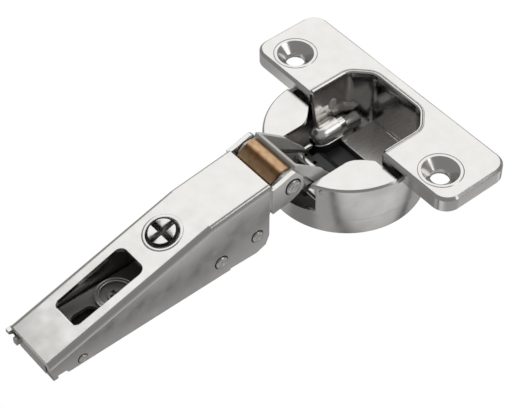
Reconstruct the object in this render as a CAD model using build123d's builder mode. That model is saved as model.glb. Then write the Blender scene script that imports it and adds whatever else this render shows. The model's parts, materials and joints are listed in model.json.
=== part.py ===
from build123d import *
from math import atan2, cos, sin, sqrt, tan
import os

# Concealed cup hinge, clip-on, opened to a right angle.
# X runs across the door plate, +Y from the arm towards the plate, +Z out of the cup mouth.
# The origin is on the cup's axis, in the plane of the door face. Millimetres.

# ---- cup ----
CUP_R = 17.5
CUP_WALL = 0.9
CUP_BOTTOM = -12.6
CUP_FLOOR_T = 1.0
CUP_FOOT = 0.7
CUP_STEP = 0.2
CUP_STEP_Z = -7.6
CUP_LIP_TOP = 1.0
CUP_LIP_T = 1.0
CUP_LIP_EDGE = 0.4
CUP_LIP_REAR = -1.5
CUP_THROAT = 7.0
NOTCH_HALF = 8.15
NOTCH_SIDE_Z = -6.4
NOTCH_MID_Z = -7.2
CUP_INSIDE = CUP_R - CUP_WALL
CUP_FLOOR = CUP_BOTTOM + CUP_FLOOR_T
CUP_RIM = CUP_LIP_TOP - CUP_LIP_T
# front of the cup: every Y on the arm's side is measured from it
FRONT = -CUP_R

# ---- door plate with its drawn well ----
PLATE_HALF = 30.0
PLATE_FRONT = -0.6
PLATE_REAR = CUP_R - 0.1
PLATE_TOP = 3.5
PLATE_T = 1.2
PLATE_CORNER_R = 3.6
PLATE_EDGE = 0.6
PLATE_LIFT = 0.05
WELL_HALF = 11.05
WELL_BEHIND = 2.5
WELL_T = 0.7
WELL_CORNER_R = 1.8
WELL_SIDE_ROOM = 0.93
WELL_REAR_ROOM = 0.16
WELL_FRONT_TOP = 0.2
WELL_FRONT_FOOT = 1.9
WELL_REAR = CUP_INSIDE - WELL_BEHIND
# the well's slanted corners stay inside the cup's wall
WELL_CHAMFER_Y = sqrt((CUP_INSIDE - WELL_T - WELL_SIDE_ROOM) ** 2 - WELL_HALF ** 2)
WELL_CHAMFER_X = sqrt((CUP_INSIDE - WELL_T - WELL_REAR_ROOM) ** 2 - WELL_REAR ** 2)
SCREW_X = 22.5
SCREW_Y = 5.15
SCREW_HOLE_R = 2.1
SCREW_SINK_R = 4.0
SCREW_BOSS_R = 4.6
SCREW_LAND_Z = 0.4

# ---- floor plate, damper tray and soft-close damper ----
FIT = 0.05
RUNNING_FIT = 0.06
FLOOR_TOP = -9.9
FLOOR_T = 0.8
FLOOR_FRONT = 4.3
HOOD_R = 2.35
HOOD_T = 0.45
HOOD_FRONT = -2.4
HOOD_REAR = 6.6
HOOD_NOSE = 1.5
DAMPER_X = -(WELL_HALF - HOOD_R - 2 * FIT)
DAMPER_Z = -8.9
DAMPER_R = 1.6
DAMPER_FRONT = 0.4
DAMPER_REAR = WELL_CHAMFER_Y + 0.7
ROD_R = 0.6
SLIDER_TRAVEL = 2.4
SLIDER_FRONT = -9.4
SLIDER_STEP = -5.1
SLIDER_REAR = -1.2
SLIDER_TOP = -7.6
SLIDER_RIGHT = 3.4
TRAY_T = 0.5
TRAY_FRONT = -9.9

# ---- pivots, as (Y, Z) ----
PIVOT_A = (FRONT + 8.69, -5.05)
PIVOT_B = (FRONT + 3.9, -4.8)
PIVOT_C = (FRONT - 3.33, 4.04)
PIVOT_D = (FRONT - 12.1, -5.0)
PIVOT_E = (FRONT - 21.3, -6.1)
PIVOT_P = (FRONT - 55.2, -8.7)
PIN_A_R = 0.9
PIN_B_R = 0.9
PIN_C_R = 1.2
PIN_D_R = 1.0
PIN_E_R = 1.1
PIN_P_R = 0.8
PIN_SKIN = 0.06

# ---- arm ----
ARM_HALF = 6.75
ARM_T = 1.05
ARM_FRONT = (FRONT - 8.6, 7.16)
ARM_CREASE = (FRONT - 23.3, 5.44)
ARM_REAR = (FRONT - 62.5, -5.4)
ARM_BOTTOM = -10.1
ARM_BEND_R = 1.25
EAR_STEP = 0.6
EAR_HALF = ARM_HALF + EAR_STEP
EAR_CORNER_R = 1.1
EAR_JOG = FRONT - 7.3
SIDE_HOLE_Y = FRONT - 30.3
SIDE_HOLE_R = 3.8
WINDOW_FRONT = FRONT - 37.4
WINDOW_REAR = FRONT - 54.3
WINDOW_FRONT_HALF = 3.95
WINDOW_REAR_HALF = 3.65
WINDOW_FRONT_R = 1.6
WINDOW_REAR_R = 1.4

# ---- links and closing spring ----
CHEEK_OUT = EAR_HALF - ARM_T - 0.15
CHEEK_T = 0.9
CHEEK_EYE_R = 2.1
CHEEK_CORNER_R = 0.7
ROLL_T = 0.55
ROLL_HALF = CHEEK_OUT - CHEEK_T - FIT
ROLL_BEND_R = 0.6
OUTER_HALF = 3.8
OUTER_T = 1.4
OUTER_BOW = (FRONT - 4.4, -3.3)
OUTER_EYE_R = 1.7
SLACK_EYE_R = 2.62
SLACK_EYE_OUT_R = 3.5
WIRE_R = 0.4
COIL_R = 1.85
COIL_IN = 0.8
COIL_TURNS = 2
COIL_GAP = 0.04

# ---- clip channel, side screw, depth cam and release lever ----
CLIP_SIDE_ROOM = 0.2
CLIP_HALF = ARM_HALF - ARM_T - CLIP_SIDE_ROOM
CLIP_T = 1.0
CLIP_WEB_TOP = -7.0
CLIP_BOTTOM = -9.9
CLIP_WEB_FRONT = FRONT - 24.1
CLIP_WEB_REAR = FRONT - 52.9
CLIP_REAR = FRONT - 60.6
CLIP_SLOT_HALF = 1.1
CLIP_BEND_R = 0.8
CAM_Y = FRONT - 42.3
CAM_R = 4.2
CAM_T = 1.1
CAM_BOSS_R = 2.0
CAM_SIT = CLIP_WEB_TOP + FIT
WASHER_R = 3.0
OVAL_Y = FRONT - 49.7
HEAD_R = 3.25
HEAD_PROUD = 0.6
HEAD_SLOT = 1.15
HEAD_SLOT_DEPTH = 1.6
COLLAR_R = 4.5
COLLAR_T = 0.8
COLLAR_DROP = ARM_T + 0.1
SHANK_R = 1.95
SHANK_END = 12.4
LEVER_SIDE_ROOM = 0.15
LEVER_OUT = CLIP_HALF - CLIP_T - LEVER_SIDE_ROOM
LEVER_T = 0.9
LEVER_TOP = -7.3
LEVER_REAR = FRONT - 62.2
LEVER_BAR_HALF = ARM_HALF - 0.15
LEVER_COIL_R = 1.12
LEVER_WIRE_R = 0.25
LEVER_COIL_TURNS = 3
LEVER_COIL_HALF = 1.6
LEVER_LEG = 5.0
LEVER_LEG_LIFT = 0.268

os.makedirs("parts", exist_ok=True)


def around(pivot, offsets):
    """Points given by their offsets in Y and Z from a pivot."""
    return [(pivot[0] + y, pivot[1] + z) for y, z in offsets]


def side_plate(x0, x1, points):
    """Flat plate between two X stations, its outline given in Y and Z."""
    with BuildPart(mode=Mode.PRIVATE) as plate:
        with BuildSketch(Plane.YZ.offset(x0)):
            Polygon(*points, align=None)
        extrude(amount=x1 - x0)
    return plate.part


def cross_pin(x0, x1, pivot, r):
    """Round bar along X at a pivot."""
    with BuildPart(mode=Mode.PRIVATE) as bar:
        with BuildSketch(Plane.YZ.offset(x0)):
            with Locations(pivot):
                Circle(r)
        extrude(amount=x1 - x0)
    return bar.part


def riveted_pin(pivot, r, half, head_r, head_t):
    """Pin through two sheets with a head outside each."""
    with BuildPart(mode=Mode.PRIVATE) as pin:
        add(cross_pin(-half, half, pivot, r))
        for side in (-1, 1):
            x0 = half if side > 0 else -half - head_t
            add(cross_pin(x0, x0 + head_t, pivot, head_r))
    return pin.part


def cup_pin_half(pivot, r):
    """Half length of a pin whose ends stop just inside the cup's outer wall."""
    return sqrt(CUP_R ** 2 - (pivot[0] - r) ** 2) - PIN_SKIN


def top_height(y):
    """Height of the arm's top face at a station along it."""
    a, b = (ARM_FRONT, ARM_CREASE) if y > ARM_CREASE[0] else (ARM_CREASE, ARM_REAR)
    return a[1] + (y - a[0]) * (b[1] - a[1]) / (b[0] - a[0])


# ---- cup, revolved, with the throat and the front notch cut out ----
with BuildPart() as hinge_cup:
    with BuildSketch(Plane.YZ) as cup_profile:
        Polygon(
            (0, CUP_BOTTOM),
            (FRONT + CUP_STEP, CUP_BOTTOM),
            (FRONT + CUP_STEP, CUP_STEP_Z),
            (FRONT, CUP_STEP_Z),
            (FRONT, CUP_LIP_TOP),
            (0, CUP_LIP_TOP),
            (0, CUP_RIM),
            (-CUP_INSIDE, CUP_RIM),
            (-CUP_INSIDE, CUP_FLOOR),
            (0, CUP_FLOOR),
            align=None,
        )
        chamfer(cup_profile.vertices().sort_by_distance((FRONT + CUP_STEP, CUP_BOTTOM, 0))[0], CUP_FOOT)
        chamfer(cup_profile.vertices().sort_by_distance((FRONT, CUP_LIP_TOP, 0))[0], CUP_LIP_EDGE)
    revolve(axis=Axis.Z)
    # the lip stays as two crescents beside the throat
    with BuildSketch(Plane.XY.offset(CUP_RIM)):
        with BuildLine():
            Line((0, FRONT - 1), (-CUP_THROAT, FRONT - 1))
            Line((-CUP_THROAT, FRONT - 1), (-CUP_THROAT, -6.7))
            Spline(
                (-CUP_THROAT, -6.7),
                (-CUP_THROAT - 0.45, -4.9),
                (-CUP_THROAT - 1.8, -3.1),
                (-WELL_HALF + 0.65, CUP_LIP_REAR),
            )
            Polyline(
                (-WELL_HALF + 0.65, CUP_LIP_REAR),
                (-CUP_R - 1, CUP_LIP_REAR),
                (-CUP_R - 1, CUP_R + 1),
                (0, CUP_R + 1),
                (0, FRONT - 1),
            )
        make_face()
        mirror(about=Plane.YZ)
    extrude(amount=CUP_LIP_TOP + 1, mode=Mode.SUBTRACT)
    # front notch that the links pass through
    with BuildSketch(Plane.XZ.offset(CUP_R - 6)):
        with BuildLine():
            Polyline(
                (-NOTCH_HALF, NOTCH_SIDE_Z),
                (-NOTCH_HALF, CUP_RIM),
                (NOTCH_HALF, CUP_RIM),
                (NOTCH_HALF, NOTCH_SIDE_Z),
            )
            ThreePointArc((NOTCH_HALF, NOTCH_SIDE_Z), (0, NOTCH_MID_Z), (-NOTCH_HALF, NOTCH_SIDE_Z))
        make_face()
    extrude(amount=8, mode=Mode.SUBTRACT)
    # blind sockets for the two link pins
    for pivot, r in ((PIVOT_A, PIN_A_R), (PIVOT_B, PIN_B_R)):
        half = cup_pin_half(pivot, r)
        add(cross_pin(-half, half, pivot, r), mode=Mode.SUBTRACT)
hinge_cup.part.label = "hinge_cup"
export_step(hinge_cup.part, "parts/hinge_cup.step")

with BuildPart() as inner_cup_pin:
    half = cup_pin_half(PIVOT_A, PIN_A_R)
    add(cross_pin(-half, half, PIVOT_A, PIN_A_R))
inner_cup_pin.part.label = "inner_cup_pin"
export_step(inner_cup_pin.part, "parts/inner_cup_pin.step")

with BuildPart() as outer_cup_pin:
    half = cup_pin_half(PIVOT_B, PIN_B_R)
    add(cross_pin(-half, half, PIVOT_B, PIN_B_R))
outer_cup_pin.part.label = "outer_cup_pin"
export_step(outer_cup_pin.part, "parts/outer_cup_pin.step")


# ---- door plate with its drawn well ----
def well_block(grow, bottom, top):
    """Solid of the octagonal well, its walls moved outwards by grow."""
    k = grow * tan(atan2(1, 1) / 2)
    with BuildPart(mode=Mode.PRIVATE) as block:
        with BuildSketch(Plane.XY.offset(bottom)):
            Polygon(
                (WELL_HALF + grow, PLATE_FRONT - 2),
                (WELL_HALF + grow, WELL_CHAMFER_Y + k),
                (WELL_CHAMFER_X + k, WELL_REAR + grow),
                (-WELL_CHAMFER_X - k, WELL_REAR + grow),
                (-WELL_HALF - grow, WELL_CHAMFER_Y + k),
                (-WELL_HALF - grow, PLATE_FRONT - 2),
                align=None,
            )
        extrude(amount=top - bottom)
        fillet(block.edges().filter_by(Axis.Z).sort_by(Axis.Y)[2:], WELL_CORNER_R + grow)
    return block.part


def plate_block(inset, height):
    """Rounded block of the plate, its sides moved in by inset."""
    with BuildPart(mode=Mode.PRIVATE) as block:
        with BuildSketch(Plane.XY):
            with Locations((0, (PLATE_FRONT + PLATE_REAR) / 2)):
                RectangleRounded(
                    (PLATE_HALF - inset) * 2,
                    PLATE_REAR - PLATE_FRONT - inset * 2,
                    PLATE_CORNER_R - inset,
                )
        extrude(amount=height)
    return block.part


with BuildPart() as boss_plate:
    # pressed tray with the well's mouth cut out of it
    add(plate_block(0, PLATE_TOP))
    add(well_block(0, -1, PLATE_TOP + 1), mode=Mode.SUBTRACT)
    fillet([e for e in boss_plate.edges().filter_by(Axis.Z)
            if abs(abs(e.center().X) - WELL_HALF) < 0.01 and e.center().Y < PLATE_FRONT + 0.01], 0.8)
    chamfer(boss_plate.edges().group_by(Axis.Z)[-1], PLATE_EDGE)
    # hollow underside, leaving a skirt round the edge and round the well
    add(plate_block(PLATE_T, PLATE_TOP - PLATE_T) - well_block(WELL_T, -1, PLATE_TOP), mode=Mode.SUBTRACT)
    # the skirt clears the cup's rim
    with BuildSketch(Plane.XY):
        Circle(CUP_R + FIT)
    extrude(amount=PLATE_LIFT, mode=Mode.SUBTRACT)
    # drawn wall of the well, down to the cup floor
    well_top = PLATE_TOP - PLATE_T / 2
    add(
        well_block(WELL_T, CUP_FLOOR, well_top)
        - well_block(0, CUP_FLOOR - 1, well_top + 1)
        - side_plate(-PLATE_HALF, PLATE_HALF, [
            (PLATE_FRONT - 3, CUP_FLOOR - 1),
            (WELL_FRONT_FOOT, CUP_FLOOR - 1),
            (WELL_FRONT_FOOT, CUP_FLOOR),
            (WELL_FRONT_TOP, PLATE_LIFT + 1),
            (WELL_FRONT_TOP, well_top + 1),
            (PLATE_FRONT - 3, well_top + 1),
        ])
    )
    # pressed seats for the two door screws
    for side in (-1, 1):
        with BuildSketch(Plane.XY.offset(SCREW_LAND_Z)):
            with Locations((side * SCREW_X, SCREW_Y)):
                Circle(SCREW_BOSS_R)
        extrude(amount=PLATE_TOP - PLATE_T - SCREW_LAND_Z)
    with Locations(*[(side * SCREW_X, SCREW_Y, PLATE_TOP) for side in (-1, 1)]):
        CounterSinkHole(SCREW_HOLE_R, SCREW_SINK_R, counter_sink_angle=90)
boss_plate.part.label = "boss_plate"
export_step(boss_plate.part, "parts/boss_plate.step")

# ---- pressed floor plate inside the well ----
with BuildPart() as cup_floor_plate:
    floor_left = DAMPER_X + HOOD_R + FIT
    add(well_block(-FIT, CUP_FLOOR, FLOOR_TOP))
    with BuildSketch(Plane.XY.offset(CUP_FLOOR)):
        with Locations(((floor_left + WELL_HALF) / 2, (FLOOR_FRONT + WELL_REAR) / 2)):
            Rectangle(WELL_HALF - floor_left, WELL_REAR - FLOOR_FRONT)
    extrude(amount=FLOOR_TOP - CUP_FLOOR, mode=Mode.INTERSECT)
    # hollow below, between the front and rear skirts
    add(side_plate(floor_left - 1, WELL_HALF + 1, [
        (FLOOR_FRONT + FLOOR_T, CUP_FLOOR - 1),
        (WELL_REAR - FLOOR_T, CUP_FLOOR - 1),
        (WELL_REAR - FLOOR_T, FLOOR_TOP - FLOOR_T),
        (FLOOR_FRONT + FLOOR_T, FLOOR_TOP - FLOOR_T),
    ]), mode=Mode.SUBTRACT)
    fillet(cup_floor_plate.edges().filter_by(Axis.X).group_by(Axis.Z)[-1], 0.3)
cup_floor_plate.part.label = "cup_floor_plate"
export_step(cup_floor_plate.part, "parts/cup_floor_plate.step")

# ---- moulded tray that guides the damper's slider ----
with BuildPart() as damper_tray:
    tray_half = WELL_HALF - 0.65
    tray_left = DAMPER_X + HOOD_R + 0.1
    with BuildSketch(Plane.XY.offset(CUP_FLOOR)):
        Polygon(
            (-tray_half, TRAY_FRONT),
            (tray_half, TRAY_FRONT),
            (tray_half, FLOOR_FRONT - 0.1),
            (tray_left, FLOOR_FRONT - 0.1),
            (tray_left, HOOD_FRONT - 0.1),
            (-tray_half, HOOD_FRONT - 0.1),
            align=None,
        )
    extrude(amount=TRAY_T)
    # guide rib beside the slider
    with BuildSketch(Plane.XY.offset(CUP_FLOOR + TRAY_T)):
        with Locations((SLIDER_RIGHT + FIT + 0.4, (TRAY_FRONT + FLOOR_FRONT) / 2 - 1)):
            Rectangle(0.8, FLOOR_FRONT - TRAY_FRONT - 2)
    extrude(amount=1.0)
damper_tray.part.label = "damper_tray"
export_step(damper_tray.part, "parts/damper_tray.step")

# ---- damper: cylinder, hood, slider and rod ----
with BuildPart() as damper_cylinder:
    with BuildSketch(Plane.XZ.offset(-DAMPER_FRONT)):
        with Locations((DAMPER_X, DAMPER_Z)):
            Circle(DAMPER_R)
            Circle(ROD_R + RUNNING_FIT, mode=Mode.SUBTRACT)
    extrude(amount=DAMPER_FRONT - DAMPER_REAR)
    # blind end
    with BuildSketch(Plane.XZ.offset(-DAMPER_REAR + 1.2)):
        with Locations((DAMPER_X, DAMPER_Z)):
            Circle(ROD_R + 0.3)
    extrude(amount=-0.8)
    # foot that stands on the cup floor
    with BuildSketch(Plane.XY.offset(CUP_FLOOR)):
        with Locations((DAMPER_X, (DAMPER_FRONT + DAMPER_REAR) / 2)):
            Rectangle(1.6, DAMPER_REAR - DAMPER_FRONT - 3)
    extrude(amount=DAMPER_Z - DAMPER_R * 0.8 - CUP_FLOOR)
damper_cylinder.part.label = "damper_cylinder"
export_step(damper_cylinder.part, "parts/damper_cylinder.step")


def hood_block(inset):
    """Blunt-nosed arch standing on the cup floor, its faces moved in by inset."""
    r = HOOD_R - inset
    low = CUP_FLOOR - (1 if inset else 0)
    front = HOOD_FRONT + inset
    rear = HOOD_REAR + (1 if inset else 0)
    with BuildPart(mode=Mode.PRIVATE) as block:
        with BuildSketch(Plane.XZ.offset(-front)):
            with Locations((DAMPER_X, DAMPER_Z)):
                Circle(r)
            with Locations((DAMPER_X, (DAMPER_Z + low) / 2)):
                Rectangle(r * 2, DAMPER_Z - low)
        extrude(amount=front - rear)
        nose = block.faces().sort_by(Axis.Y)[0]
        chamfer([e for e in nose.edges() if e.center().Z > low + 0.01], HOOD_NOSE - inset)
    return block.part


with BuildPart() as damper_hood:
    add(hood_block(0))
    add(hood_block(HOOD_T), mode=Mode.SUBTRACT)
    # hole in the nose for the rod
    with BuildSketch(Plane.XZ.offset(1 - HOOD_FRONT)):
        with Locations((DAMPER_X, DAMPER_Z)):
            Circle(ROD_R + RUNNING_FIT)
    extrude(amount=-3, mode=Mode.SUBTRACT)
damper_hood.part.label = "damper_hood"
export_step(damper_hood.part, "parts/damper_hood.step")

with BuildPart() as damper_slider:
    slider_low = CUP_FLOOR + TRAY_T + FIT
    # wide front bar that the rod pushes
    add(side_plate(DAMPER_X - DAMPER_R, SLIDER_RIGHT, [
        (SLIDER_FRONT, slider_low),
        (SLIDER_FRONT, slider_low + 1.4),
        (SLIDER_FRONT + 1.5, SLIDER_TOP),
        (SLIDER_STEP, SLIDER_TOP),
        (SLIDER_STEP, slider_low),
    ]))
    chamfer(damper_slider.edges().filter_by(Axis.Y).group_by(Axis.Z)[-1], 0.8)
    # narrower heel behind it, beside the hood
    add(side_plate(DAMPER_X + HOOD_R + 0.65, SLIDER_RIGHT, [
        (SLIDER_STEP, slider_low),
        (SLIDER_STEP, SLIDER_TOP - 0.8),
        (SLIDER_REAR - 1.6, SLIDER_TOP - 1.0),
        (SLIDER_REAR, SLIDER_TOP - 2.0),
        (SLIDER_REAR, slider_low),
    ]))
    # pockets across the top
    with BuildSketch(Plane.XY.offset(SLIDER_TOP)):
        with Locations(*[(x, (SLIDER_FRONT + SLIDER_STEP) / 2 + 0.9) for x in (-6.2, -3.2, -0.2)]):
            Rectangle(0.9, 2.0)
    extrude(amount=-0.7, mode=Mode.SUBTRACT)
damper_slider.part.label = "damper_slider"
export_step(damper_slider.part, "parts/damper_slider.step")

with BuildPart() as damper_rod:
    with BuildSketch(Plane.XZ.offset(-SLIDER_STEP)):
        with Locations((DAMPER_X, DAMPER_Z)):
            Circle(ROD_R)
    extrude(amount=SLIDER_STEP - DAMPER_REAR + 2.4 + SLIDER_TRAVEL)
damper_rod.part.label = "damper_rod"
export_step(damper_rod.part, "parts/damper_rod.step")

# ---- inner link, a folded U over the closing spring ----
with BuildPart() as inner_link:
    cheek = around(PIVOT_A, [(1.62, 1.33), (-1.1, 4.3)]) + around(PIVOT_C, [
        (9.0, -2.1),
        (6.0, 0.4),
        (2.5, 3.3),
        (1.5, 4.0),
        (1.1, 2.6),
        (-0.1, 2.9),
        (-1.7, 2.8),
        (-3.3, 1.4),
        (-2.9, -0.9),
        (-0.6, -2.5),
        (1.6, -2.1),
        (3.9, -0.4),
        (6.7, -4.1),
        (8.8, -6.6),
    ]) + around(PIVOT_A, [(-1.85, -0.98)])
    for x0 in (-CHEEK_OUT, CHEEK_OUT - CHEEK_T):
        with BuildSketch(Plane.YZ.offset(x0)):
            with BuildLine():
                FilletPolyline(*cheek, radius=CHEEK_CORNER_R, close=True)
            make_face()
            with Locations(PIVOT_A):
                Circle(CHEEK_EYE_R)
                Circle(PIN_A_R + RUNNING_FIT, mode=Mode.SUBTRACT)
            with Locations(PIVOT_C):
                Circle(PIN_C_R + RUNNING_FIT, mode=Mode.SUBTRACT)
        extrude(amount=CHEEK_T)
    # web behind the roll
    add(side_plate(-CHEEK_OUT, CHEEK_OUT, around(PIVOT_C, [
        (1.5, 3.95), (2.48, 3.26), (2.13, 2.36), (1.15, 2.66),
    ])))
inner_link.part.label = "inner_link"
export_step(inner_link.part, "parts/inner_link.step")

# ---- bronze roll that closes the gap over the knuckle ----
with BuildPart() as spring_roll:
    with BuildSketch(Plane.YZ.offset(-ROLL_HALF)):
        with BuildLine():
            FilletPolyline(
                *around(PIVOT_C, [(0.85, 2.95), (-0.1, 3.33), (-1.8, 3.21), (-4.5, 1.1), (-4.3, 0.3)]),
                radius=ROLL_BEND_R,
            )
        trace(line_width=ROLL_T)
    extrude(amount=ROLL_HALF * 2)
spring_roll.part.label = "spring_roll"
export_step(spring_roll.part, "parts/spring_roll.step")


# ---- closing spring: two coils round the front pin, each with a leg to the inner pin ----
def coil_with_leg(start, side, pivot, leg_dir, r, wire_r, wire_sides, pitch, turns, leg):
    """Coil along X from start, wound outwards, ending in a straight leg along leg_dir."""
    out_dir = (-leg_dir[1], leg_dir[0])
    with BuildPart(mode=Mode.PRIVATE) as spring:
        with BuildLine() as path:
            coil = Helix(pitch=pitch, height=pitch * turns, radius=r, lefthand=side > 0)
            Line(coil @ 1, (coil @ 1) + (coil % 1) * leg)
        placed = Plane(
            origin=(start, pivot[0], pivot[1]),
            x_dir=(0, out_dir[0], out_dir[1]),
            z_dir=(side, 0, 0),
        ) * path.wires()[0]
        with BuildSketch(Plane(origin=placed @ 0, z_dir=placed % 0)):
            RegularPolygon(wire_r, wire_sides, major_radius=True)
        sweep(path=placed, is_frenet=True)
    return spring.part


with BuildPart() as closing_spring:
    to_a = Vector(PIVOT_A[0] - PIVOT_C[0], PIVOT_A[1] - PIVOT_C[1])
    leg_dir = (to_a.normalized().X, to_a.normalized().Y)
    for side in (-1, 1):
        start = side * (COIL_IN + WIRE_R)
        pitch = WIRE_R * 2 + COIL_GAP
        add(coil_with_leg(start, side, PIVOT_C, leg_dir, COIL_R, WIRE_R, 6, pitch, COIL_TURNS, to_a.length))
closing_spring.part.label = "closing_spring"
export_step(closing_spring.part, "parts/closing_spring.step")

# ---- outer link ----
with BuildPart() as outer_link:
    with BuildSketch(Plane.YZ.offset(-OUTER_HALF)):
        with BuildLine():
            ThreePointArc(PIVOT_B, OUTER_BOW, PIVOT_D)
        trace(line_width=OUTER_T)
        with Locations(PIVOT_B):
            Circle(OUTER_EYE_R)
        with Locations(PIVOT_D):
            Circle(SLACK_EYE_OUT_R)
            Circle(SLACK_EYE_R, mode=Mode.SUBTRACT)
        with Locations(PIVOT_B):
            Circle(PIN_B_R + RUNNING_FIT, mode=Mode.SUBTRACT)
    extrude(amount=OUTER_HALF * 2)
outer_link.part.label = "outer_link"
export_step(outer_link.part, "parts/outer_link.step")


# ---- arm, a folded U with joggled ears ----
def arm_block(half, inset):
    """Solid body of the arm, its faces moved in by inset."""
    low = ARM_BOTTOM - (5 if inset else 0)
    front = EAR_JOG + (5 if inset else 2)
    rear = ARM_REAR[0] - (5 if inset else 0)
    with BuildPart(mode=Mode.PRIVATE) as block:
        with BuildSketch(Plane.YZ.offset(-half)):
            Polygon(
                (front, top_height(front) - inset),
                (ARM_CREASE[0], ARM_CREASE[1] - inset),
                (rear, top_height(rear) - inset),
                (rear, low),
                (front, low),
                align=None,
            )
        extrude(amount=half * 2)
        tops = [e for e in block.edges() if abs(abs(e.center().X) - half) < 0.01
                and e.center().Z > top_height(e.center().Y) - inset - 0.01
                and abs(e.tangent_at(0.5).Y) > 0.8]
        fillet(tops, ARM_BEND_R - inset * 0.7)
    return block.part


rear_slope = atan2(ARM_CREASE[1] - ARM_REAR[1], ARM_CREASE[0] - ARM_REAR[0])
screw_seat = Plane(
    origin=(0, SIDE_HOLE_Y, top_height(SIDE_HOLE_Y)),
    x_dir=(1, 0, 0),
    z_dir=(0, -sin(rear_slope), cos(rear_slope)),
)
ear_inside = EAR_HALF - ARM_T

with BuildPart() as hinge_arm:
    add(arm_block(ARM_HALF, 0))
    # trim the flanges to their side outline
    add(side_plate(-ARM_HALF - 1, ARM_HALF + 1, [
        ARM_FRONT,
        ARM_CREASE,
        ARM_REAR,
        (ARM_REAR[0], -7.6),
        (ARM_REAR[0] + 0.5, -9.3),
        *around(PIVOT_P, [(-4.6, -0.6), (-3.9, -0.6), (-3.4, -1.4)]),
        (PIVOT_E[0] + 2.2, ARM_BOTTOM),
        *around(PIVOT_D, [(-7.0, -4.7), (-0.2, -4.9), (2.2, -4.0), (3.1, -1.8), (3.2, 4.2)]),
        (EAR_JOG - 1.2, 0.3),
        (EAR_JOG, -0.9),
        (EAR_JOG, 5.3),
        (EAR_JOG - 0.8, 6.5),
    ]), mode=Mode.INTERSECT)
    add(arm_block(ARM_HALF - ARM_T, ARM_T), mode=Mode.SUBTRACT)
    # ears, stepped out from the flanges
    for side in (-1, 1):
        with BuildSketch(Plane.YZ.offset(ear_inside if side > 0 else -EAR_HALF)):
            Polygon(
                (EAR_JOG - 1.2, 6.2),
                *around(PIVOT_C, [(-3.2, 2.55), (0.7, 3.75), (2.6, 1.3), (2.9, -1.7), (1.4, -3.1), (-0.4, -3.8)]),
                (EAR_JOG, -0.3),
                (EAR_JOG - 1.2, -0.5),
                align=None,
            )
        ear = extrude(amount=ARM_T)
        corners = [e for e in ear.edges().filter_by(Axis.X) if e.center().Y > PIVOT_C[0]]
        fillet(corners, EAR_CORNER_R)
        # joggle between flange and ear
        x_in = ARM_HALF - ARM_T if side > 0 else -EAR_HALF
        add(side_plate(x_in, x_in + ARM_T + EAR_STEP, [
            (EAR_JOG - 1.2, 6.2),
            (EAR_JOG, 5.6),
            (EAR_JOG, -0.2),
            (EAR_JOG - 1.2, -0.4),
        ]))
    # corner left standing at the rear of the far flange
    add(side_plate(-ARM_HALF, -ARM_HALF + ARM_T, [
        (ARM_REAR[0] + 0.5, ARM_REAR[1] - 0.7),
        (ARM_REAR[0] - 1.0, ARM_REAR[1] - 0.7),
        (ARM_REAR[0] - 1.0, ARM_REAR[1] - 1.5),
        (ARM_REAR[0], ARM_REAR[1] - 2.0),
        (ARM_REAR[0] + 0.5, ARM_REAR[1] - 2.0),
    ]))
    # pin holes
    for pivot, r in ((PIVOT_C, PIN_C_R), (PIVOT_D, PIN_D_R), (PIVOT_E, PIN_E_R), (PIVOT_P, PIN_P_R)):
        add(cross_pin(-EAR_HALF, EAR_HALF, pivot, r), mode=Mode.SUBTRACT)
    # side-screw hole and tapered window in the sloping top
    with BuildSketch(screw_seat):
        Circle(SIDE_HOLE_R)
    extrude(amount=4, both=True, mode=Mode.SUBTRACT)
    with BuildSketch(Plane.XY.offset(-4)) as window:
        Polygon(
            (-WINDOW_FRONT_HALF, WINDOW_FRONT),
            (WINDOW_FRONT_HALF, WINDOW_FRONT),
            (WINDOW_REAR_HALF, WINDOW_REAR),
            (-WINDOW_REAR_HALF, WINDOW_REAR),
            align=None,
        )
        fillet(window.vertices().group_by(Axis.Y)[-1], WINDOW_FRONT_R)
        fillet(window.vertices().sort_by(Axis.Y)[:2], WINDOW_REAR_R)
    extrude(amount=8, mode=Mode.SUBTRACT)
hinge_arm.part.label = "hinge_arm"
export_step(hinge_arm.part, "parts/hinge_arm.step")

# ---- rivets through the arm ----
with BuildPart() as arm_front_pin:
    add(riveted_pin(PIVOT_C, PIN_C_R, EAR_HALF, 1.75, 0.55))
    for face in (arm_front_pin.faces().sort_by(Axis.X)[0], arm_front_pin.faces().sort_by(Axis.X)[-1]):
        chamfer(face.edges(), 0.3)
arm_front_pin.part.label = "arm_front_pin"
export_step(arm_front_pin.part, "parts/arm_front_pin.step")

with BuildPart() as arm_link_pin:
    add(riveted_pin(PIVOT_D, PIN_D_R, ARM_HALF, 1.35, 0.5))
arm_link_pin.part.label = "arm_link_pin"
export_step(arm_link_pin.part, "parts/arm_link_pin.step")

with BuildPart() as channel_rivet:
    add(riveted_pin(PIVOT_E, PIN_E_R, ARM_HALF, 1.45, 0.5))
channel_rivet.part.label = "channel_rivet"
export_step(channel_rivet.part, "parts/channel_rivet.step")

with BuildPart() as lever_pin:
    add(riveted_pin(PIVOT_P, PIN_P_R, ARM_HALF, 1.0, 0.35))
lever_pin.part.label = "lever_pin"
export_step(lever_pin.part, "parts/lever_pin.step")

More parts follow.
